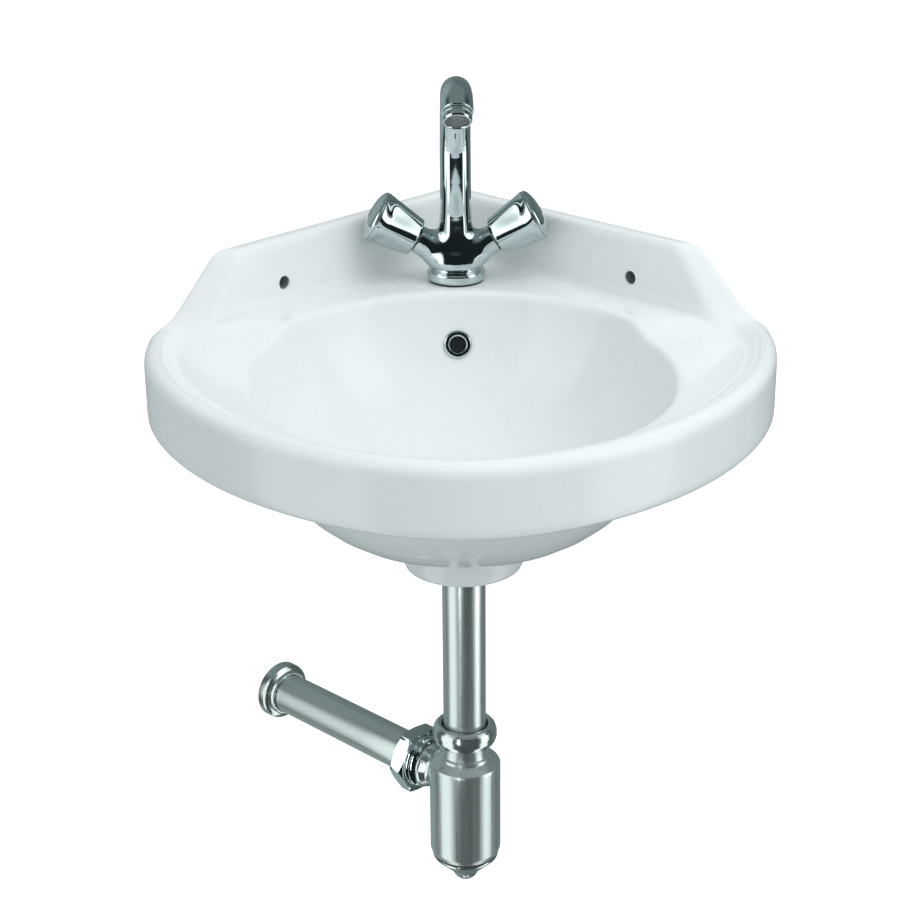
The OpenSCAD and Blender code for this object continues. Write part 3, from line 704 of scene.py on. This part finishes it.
net, net_faces = net_surface(mixer_field, (-40, -104, 10), (40, 26, 176), 1.25)
net, net_normals = settle(mixer_field, net, net_faces)
net = net + np.array([0, TAP_Y, 0])
add_piece("mixer_cast_body", [(net, net_faces)], "root", "chrome_polished", ["mixer_body"],
          normals=[tuple(v) for v in net_normals])
add_piece("mixer_base_ring", [lathe([
    (0, 1.5), (22.2, 1.5, 0.8), (23, 3, 1), (23, 7.4, 1.2), (21.9, 9.1, 1.0), (19.4, 10.4, 0.8), (18.9, 12),
    (0, 12)], AT_TAP, 160)], "root", "chrome_polished")

KNOB_FROM, KNOB_TO, KNOB_R0, KNOB_R1, CAP_H = 36.0, 71.0, 15.5, 21.5, 6.0
RIDGE_POWER = 0.75


def hollow_between(angle):
    """0 on each of a knob's four ridges and 1 in the middle of the hollows between them."""
    return ((1 - math.cos(4 * angle)) / 2) ** RIDGE_POWER


def knob_shape(angle, r, z):
    """Four ridges, one of them to the front. The hollows run out before the dome."""
    if r < 12.7:
        return r
    depth = 0.13 + 0.07 * ease(37, 62, z) - 0.16 * ease(61, 71, z) - 0.03 * ease(37.2, 36, z)
    weight = min(1, max(0, (r - 12.6) / 1.2))
    return r * (1 - weight * depth * hollow_between(angle))


def cap_shape(angle, r, z):
    return r * (1 - 0.04 * min(1, r / KNOB_R1) ** 1.5 * hollow_between(angle))


def knob_outline():
    foot = [(4.02, 54), (12.4, 54, 0.6), (12.4, KNOB_FROM, 0.3), (14.5, KNOB_FROM, 0.5),
            (15.6, KNOB_FROM + 1.2, 0.7)]
    flutes = [(KNOB_R0 + (KNOB_R1 - KNOB_R0) * (z - 37) / 34, z) for z in range(39, 69)]
    end = [(21.25, 69.4, 0.6), (21.4, 70.2, 0.35), (20.5, 70.5, 0.2), (20.4, 70.95), (8.05, 70.95),
           (8.05, 66), (4.02, 66)]
    return foot + flutes + end


def dome_outline():
    rows = [(0, 69.2), (8, 69.2, 0.2), (8, 71.05), (20.4, 71.05, 0.1), (21.2, 71.4, 0.3)]
    for a in (14, 26, 38, 50, 62, 74, 84):
        c, s = math.cos(math.radians(a)), math.sin(math.radians(a))
        rows.append((KNOB_R1 * (0.22 + 0.78 * c) - 0.2, KNOB_TO + CAP_H * s, 2.0))
    return rows + [(0, KNOB_TO + CAP_H)]


for side, word, body in ((-1, "hot", "hot_handle"), (1, "cold", "cold_handle")):
    add_piece(word + "_knob_fluted", [lathe(knob_outline(), at_arm(side), 240, 5, knob_shape)], body,
              "chrome_polished", [word + "_knob"], crease=50)
    add_piece(word + "_knob_dome", [lathe(dome_outline(), at_arm(side), 192, 4, cap_shape)], body,
              "chrome_polished", [word + "_knob_cap"], crease=55)

N0 = NOSE_LEN
add_piece("aerator_housing_turned", [lathe([
    (8.65, N0 - 1.9, 0.1), (9.7, N0 - 1.9, 0.1), (9.7, N0 + 0.7), (10.9, N0 + 0.7, 0.25),
    (10.9, N0 + 2.2, 0.3), (10.35, N0 + 2.5, 0.15), (10.35, N0 + 3.2, 0.15), (10.9, N0 + 3.5, 0.3),
    (10.9, N0 + 6.6, 0.8), (10.3, N0 + 8, 0.4), (8.9, N0 + 8, 0.4), (8.3, N0 + 6.4, 0.3),
    (8.65, N0 + 6.2)], AT_NOSE, 128)],
    "root", "chrome_polished", ["aerator_housing"])


def straightener_ring(r_from, r_to, height, segments):
    outline = [(r_from, N0, 0.1), (r_to, N0, 0.1), (r_to, N0 + height, 0.2), (r_from, N0 + height, 0.2)]
    return lathe(outline, AT_NOSE, segments, 2)


straightener = [lathe([(0, N0 - 1.9), (8.55, N0 - 1.9, 0.2), (8.55, N0 + 0.1, 0.2), (0, N0 + 0.1)],
                      AT_NOSE, 96)]
straightener += [straightener_ring(r - 0.3, r + 0.3, 6.0, 72) for r in (1.5, 3.3, 5.1, 6.9)]
straightener.append(straightener_ring(7.9, 8.5, 6.1, 96))
SPOKES = 10
for k in range(SPOKES):
    at_spoke = AT_NOSE @ place(("turn", "Z", 360 / SPOKES * k))
    straightener.append(box_part((1.4, -0.3, N0), (8.1, 0.3, N0 + 5.8), at_spoke, 0.12))
add_piece("aerator_straightener", straightener, "root", "plastic", ["aerator_insert"])


def screw_profile(r, low, high, pitch, depth):
    """Corners of a threaded rod's side, as rings at the thread's pitch."""
    rows = []
    turns = int((high - low) / pitch)
    for k in range(turns):
        z = low + pitch * k
        rows += [(r - depth, z + 0.04 * pitch), (r - depth, z + 0.2 * pitch), (r, z + 0.5 * pitch),
                 (r, z + 0.7 * pitch)]
    return rows


def hex_shape(flat_r, corner_r, low, high):
    """A hexagon whose corners are chamfered by cones at both ends."""
    def shape(angle, r, z):
        if r < flat_r - 1e-6:
            return r
        folded = (angle + math.pi / 6) % (math.pi / 3) - math.pi / 6
        side = flat_r / math.cos(folded)
        rise = min(z - low, high - z) if high > low else 0
        return min(side, flat_r + 0.15 + max(rise, 0) * 1.75, corner_r)
    return shape


def hex_rows(flat_r, low, high):
    """Rows of a hexagon nut's side, close together where its corners are chamfered."""
    height = high - low
    steps = [0, 0.25, 0.5, 0.8, 1.1, 1.5, 2.0]
    rows = [low + s for s in steps if s < height / 2] + [high - s for s in reversed(steps) if s < height / 2]
    return [(flat_r + 0.15 if z in (low, high) else flat_r + 1.0, z) for z in rows]


def hex_nut(bore_r, flat_r, corner_r, low, high, matrix, turned=30):
    rows = [(bore_r, low + 0.6), (bore_r + 0.6, low)] + hex_rows(flat_r, low, high)
    rows += [(bore_r + 0.6, high), (bore_r, high - 0.6)]
    return lathe(rows, matrix @ place(("turn", "Z", turned)), 216, 2, hex_shape(flat_r, corner_r, low, high))


STUD = AT_TAP @ place(("move", 0, 9, 0))
add_piece("mixer_stud_threaded", [lathe(
    [(0, -58), (3.2, -58), (3.5, -57.6)] + screw_profile(3.98, -57.5, -14, 1.25, 0.55) +
    [(3.9, -13.4), (3.9, 12.8), (0, 12.8)], STUD, 48, 2)], "root", "brass", ["mixer_stud"], crease=30)
add_piece("mixer_nut_hex", [hex_nut(4.0, 6.5, 7.45, -30.5, -18.5, STUD)], "root", "brass", ["mixer_nut"],
          crease=28)

# ------------------------------------------------------- waste and bottle trap

OUTLET_LEN, OUTLET_Z = DRAIN_Y / ROOT2, -340.0
AT_OUTLET = AT_DRAIN @ place(("move", 0, 0, OUTLET_Z), ("turn", "Z", 135), ("turn", "Y", 90))

add_piece("waste_nut_hex", [hex_nut(20.95, 26.0, 29.9, FLOOR_Z - 13, FLOOR_Z - 3, AT_DRAIN, 0)], "root",
          "brass", ["waste_nut"], crease=28)

add_piece("tail_pipe_drawn", [lathe([
    (14.5, -380, 0.5), (16, -380, 0.6), (16, -330), (16, -260), (16, -200), (16, -138, 0.6),
    (14.5, -138, 0.5)],
    AT_DRAIN, 144)], "root", "chrome_satin", ["tail_pipe"])

add_piece("inlet_nut_turned", [lathe([
    (19.5, -303.9, 0.3), (21.3, -303.9, 0.8), (23.0, -302.4, 2), (24.25, -298.8, 3), (24.25, -294.4, 3),
    (23.2, -290.7, 2.5), (21.2, -288.5, 1.5), (19.6, -288, 0.8), (18.0, -288.3, 0.8), (17.2, -289.6, 0.6),
    (17.2, -292), (19.5, -292)], AT_DRAIN, 144, 6)], "root", "chrome_satin", ["inlet_nut"], material=SATIN)

add_piece("trap_bottle", [lathe([
    (16.4, -297.1), (19.3, -297.1, 0.3), (19.3, -303.8, 0.3), (17.8, -304.2, 0.4), (17.8, -313.6, 0.8),
    (19.7, -314.6, 0.4), (19.8, -316.8, 0.4), (21.0, -317.6, 0.5), (26.1, -321.4, 0.5), (27, -323.0, 0.7),
    (27, -345), (27, -370), (27, -395.6, 1.5), (25.7, -399.9, 0.8), (24.2, -399.9, 0.2), (24.2, -324.5, 1),
    (16.4, -324.5, 0.3)], AT_DRAIN, 168, 5)], "root", "chrome_satin", ["trap_body"])
add_piece("trap_outlet_stub", [lathe([
    (12.5, 23), (15.4, 23), (14.2, 26.5, 3), (14.4, 29.0, 2), (17.2, 33.2, 1.2), (17.9, 34.9, 0.6),
    (17.9, 36.6, 0.6), (15.4, 37.0), (15.4, 46.9), (12.5, 46.9)], AT_OUTLET, 128, 5)],
    "root", "chrome_satin", material=SATIN)

NUT_FROM, NUT_TO, NUT_FLAT_R, NUT_CORNER_R = 44.0, 57.0, 23.3, 26.9
nut_collar = [(15.6, 37.4), (18.0, 37.2), (19.4, 38.2), (20.2, 39.6), (19.9, 41.2), (19.0, 42.3),
              (20.0, 43.2), (20.4, NUT_FROM)]
nut_inside = [(19.6, NUT_TO), (18.6, NUT_TO - 0.4), (17.2, NUT_TO - 1.6), (16.05, NUT_TO - 2.0),
              (16.05, 52.2), (18.9, 52.2), (18.9, 47), (15.6, 47)]
add_piece("outlet_nut_hex", [lathe(
    nut_collar + hex_rows(NUT_FLAT_R, NUT_FROM, NUT_TO) + nut_inside, AT_OUTLET, 216, 2,
    hex_shape(NUT_FLAT_R, NUT_CORNER_R, NUT_FROM, NUT_TO))],
    "root", "chrome_polished", ["outlet_nut"], crease=30)

add_piece("outlet_pipe_drawn", [lathe([
    (14.5, 47.1, 0.3), (15.98, 47.1, 0.3), (15.98, 100), (15.98, 150), (15.98, OUTLET_LEN),
    (14.5, OUTLET_LEN)],
    AT_OUTLET, 144)], "root", "chrome_satin", ["outlet_pipe"], material=DRAWN_OUTLET)

L = OUTLET_LEN
add_piece("wall_flange_pressed", [lathe([
    (16.05, L), (16.05, L - 13.4, 0.3), (16.6, L - 13.9, 0.4), (17.6, L - 13.9, 0.6), (18.1, L - 12.8, 0.5),
    (18.3, L - 10.6, 0.8), (20.6, L - 9.9, 0.8), (22.6, L - 8.8, 1.2), (23.2, L - 6.8, 1.5),
    (23.2, L - 0.6, 0.4), (22.6, L, 0.3)], AT_OUTLET, 144, 5)],
    "root", "chrome_satin", ["wall_flange"], material=SATIN)

CUP_TOP, CUP_PITCH, CUP_RINGS = -401.4, 2.3, 3
cup_thread = []
for k in range(CUP_RINGS):
    ring_z = CUP_TOP + CUP_PITCH * k
    cup_thread += [(22.3, ring_z + 0.6), (21.6, ring_z + 1.3), (22.3, ring_z + 2.0)]
add_piece("trap_cup_turned", [lathe([
    (0, -426), (4.6, -425.8, 2.5), (8.4, -422.4, 3.5), (10.6, -417.8, 3), (24.9, CUP_TOP - 2.2, 0.8),
    (25.4, CUP_TOP - 0.1, 0.4), (22.3, CUP_TOP - 0.1)] + cup_thread +
    [(22.3, CUP_TOP + 7.9, 0.3), (19.5, CUP_TOP + 7.9, 0.3), (19.5, CUP_TOP - 3.9, 1), (0, CUP_TOP - 3.9)],
    AT_DRAIN, 144, 5)], "cup", "chrome_satin", ["trap_cup"], material=SATIN)

# ------------------------------------------- CAD nodes that keep their shape

KEPT = {"waste_body": CHROME, "waste_seal": RUBBER, "waste_washer": RUBBER, "mixer_gasket": RUBBER,
        "hot_cartridge": BRASS, "cold_cartridge": BRASS, "hot_seat_seal": RUBBER, "cold_seat_seal": RUBBER,
        "hot_fixed_disc": DISC, "cold_fixed_disc": DISC, "hot_moving_disc": DISC, "cold_moving_disc": DISC,
        "hot_spindle": BRASS, "cold_spindle": BRASS, "hot_knob_screw": STEEL, "cold_knob_screw": STEEL,
        "aerator_seal": RUBBER, "horseshoe_gasket": RUBBER, "horseshoe_washer": STEEL, "inlet_seal": RUBBER,
        "outlet_seal": RUBBER, "cup_seal": RUBBER}
for name, kept_material in KEPT.items():
    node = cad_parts[name]
    if not node.material_slots:
        node.data.materials.append(kept_material)
    for kept_slot in node.material_slots:
        kept_slot.material = kept_material

# -------------------------------------------------------- floor and light

FLOOR_HEIGHT = -0.86
floor_mesh = bpy.data.meshes.new("floor")
floor_mesh.from_pydata([(x, y, FLOOR_HEIGHT) for x, y in ((-14, -14), (14, -14), (14, 14), (-14, 14))], [],
                       [(0, 1, 2, 3)])
floor = bpy.data.objects.new("floor", floor_mesh)
scene.collection.objects.link(floor)
pale = Nodes("floor_pale").set(Specular_IOR_Level=0.1)
pale.link(pale.ramp(pale.noise(0.8, 3), [(0.3, (0.90, 0.90, 0.90)), (0.7, (0.93, 0.93, 0.93))]), "Base Color")
pale.link(pale.ramp(pale.noise(6, 3), [(0.3, 0.7), (0.7, 0.8)]), "Roughness")
pale.set(Emission_Color=(1.0, 0.95, 0.95), Emission_Strength=0.44)
floor_mesh.materials.append(pale.material)
floor.visible_glossy = False
floor.visible_diffuse = False

world = bpy.data.worlds.new("studio")
scene.world = world
world.use_nodes = True
sky = world.node_tree
sky.nodes.clear()


def sky_node(kind, **values):
    node = sky.nodes.new(kind)
    for key, value in values.items():
        setattr(node, key, value)
    return node


def sky_ramp(factor, stops, interpolation="LINEAR"):
    node = sky_node("ShaderNodeValToRGB")
    node.color_ramp.interpolation = interpolation
    elements = node.color_ramp.elements
    while len(elements) < len(stops):
        elements.new(0.5)
    for element, (where, value) in zip(elements, stops):
        element.position = where
        element.color = (*value, 1)
    sky.links.new(factor, node.inputs["Fac"])
    return node.outputs["Color"]


def sky_mix(factor, a, b):
    node = sky_node("ShaderNodeMix", data_type="RGBA")
    for socket, value in ((node.inputs[0], factor), (node.inputs[6], a), (node.inputs[7], b)):
        if isinstance(value, bpy.types.NodeSocket):
            sky.links.new(value, socket)
        else:
            socket.default_value = value
    return node.outputs[2]


spread = sky_node("ShaderNodeSeparateXYZ")
sky.links.new(sky_node("ShaderNodeTexCoord").outputs["Generated"], spread.inputs[0])
back = sky_node("ShaderNodeMath", operation="MULTIPLY")
sky.links.new(spread.outputs["Y"], back.inputs[0])
back.inputs[1].default_value = -1
bearing = sky_node("ShaderNodeMath", operation="ARCTAN2")
sky.links.new(spread.outputs["X"], bearing.inputs[0])
sky.links.new(back.outputs[0], bearing.inputs[1])
place_on_ring = sky_node("ShaderNodeMapRange")
sky.links.new(bearing.outputs[0], place_on_ring.inputs["Value"])
place_on_ring.inputs["From Min"].default_value = -math.pi
place_on_ring.inputs["From Max"].default_value = math.pi
height = sky_node("ShaderNodeMapRange")
sky.links.new(spread.outputs["Z"], height.inputs["Value"])
height.inputs["From Min"].default_value = -1
height.inputs["From Max"].default_value = 1

DARK, DIM, GREY, LIT = (0.012, 0.018, 0.022), (0.05, 0.068, 0.072), (0.16, 0.20, 0.205), (1.75, 1.8, 1.8)
PALE = (0.36, 0.45, 0.45)


def bearing_stops(pairs):
    """Turns bearings in degrees, 0 towards the front and positive to the right, into ramp places."""
    return [((degrees + 180) / 360, colour) for degrees, colour in pairs]


ring_light = sky_ramp(place_on_ring.outputs[0], bearing_stops([
    (-180, GREY), (-150, PALE), (-122, PALE), (-104, DIM), (-90, DIM), (-86, LIT), (-46, LIT), (-42, DARK),
    (54, DARK), (58, LIT), (86, LIT), (90, DIM), (106, DIM), (124, GREY), (180, GREY)]))
above = sky_ramp(height.outputs[0], [(0.0, (0, 0, 0)), (0.80, (0, 0, 0)), (0.90, (1, 1, 1))])
studio = sky_mix(above, ring_light, (0.22, 0.27, 0.275, 1))
even = sky_ramp(height.outputs[0], [(0.0, (0.36, 0.40, 0.405)), (0.5, (0.66, 0.70, 0.705)),
                                    (1.0, (0.88, 0.91, 0.915))])
ray = sky_node("ShaderNodeLightPath")
seen = sky_mix(ray.outputs["Is Glossy Ray"], even, studio)
shown = sky_mix(ray.outputs["Is Camera Ray"], seen, (1, 1, 1, 1))
light_out = sky_node("ShaderNodeBackground")
sky.links.new(shown, light_out.inputs["Color"])
sky.links.new(light_out.outputs[0], sky_node("ShaderNodeOutputWorld").inputs["Surface"])
scene.view_settings.view_transform = "Standard"


def area_light(name, at, towards, size, power, colour, glossy):
    data = bpy.data.lights.new(name, "AREA")
    data.shape = "RECTANGLE"
    data.size, data.size_y = size
    data.energy = power
    data.color = colour
    lamp = bpy.data.objects.new(name, data)
    scene.collection.objects.link(lamp)
    lamp.location = at
    lamp.rotation_euler = (Vector(towards) - Vector(at)).to_track_quat("-Z", "Y").to_euler()
    lamp.visible_glossy = glossy
    return lamp


area_light("key", (1.25, -0.95, 2.0), (0, -0.25, 0), (1.5, 1.5), 22, (1, 1, 1), False)
area_light("low", (0.3, -1.6, -0.5), (0, -0.25, -0.35), (1.6, 0.5), 1.5, (0.94, 1, 1), False)

waste_pipes = bpy.data.collections.new("waste_pipes")
for name in ("tail_pipe_drawn", "inlet_nut_turned", "trap_bottle", "trap_outlet_stub", "outlet_nut_hex",
             "outlet_pipe_drawn", "wall_flange_pressed", "trap_cup_turned"):
    waste_pipes.objects.link(bpy.data.objects[name])
# Two narrow strips that light only the waste pipes, a metre from them at these bearings from the front
for name, degrees in (("strip_left", -22), ("strip_right", 73)):
    turn_to = math.radians(degrees)
    stands = (math.sin(turn_to), -0.3 - math.cos(turn_to), -0.2)
    strip = area_light(name, stands, (0, -0.302, -0.34), (0.07, 1.1), 2.6, (0.95, 1, 1), True)
    strip.visible_camera = False
    strip.light_linking.receiver_collection = waste_pipes
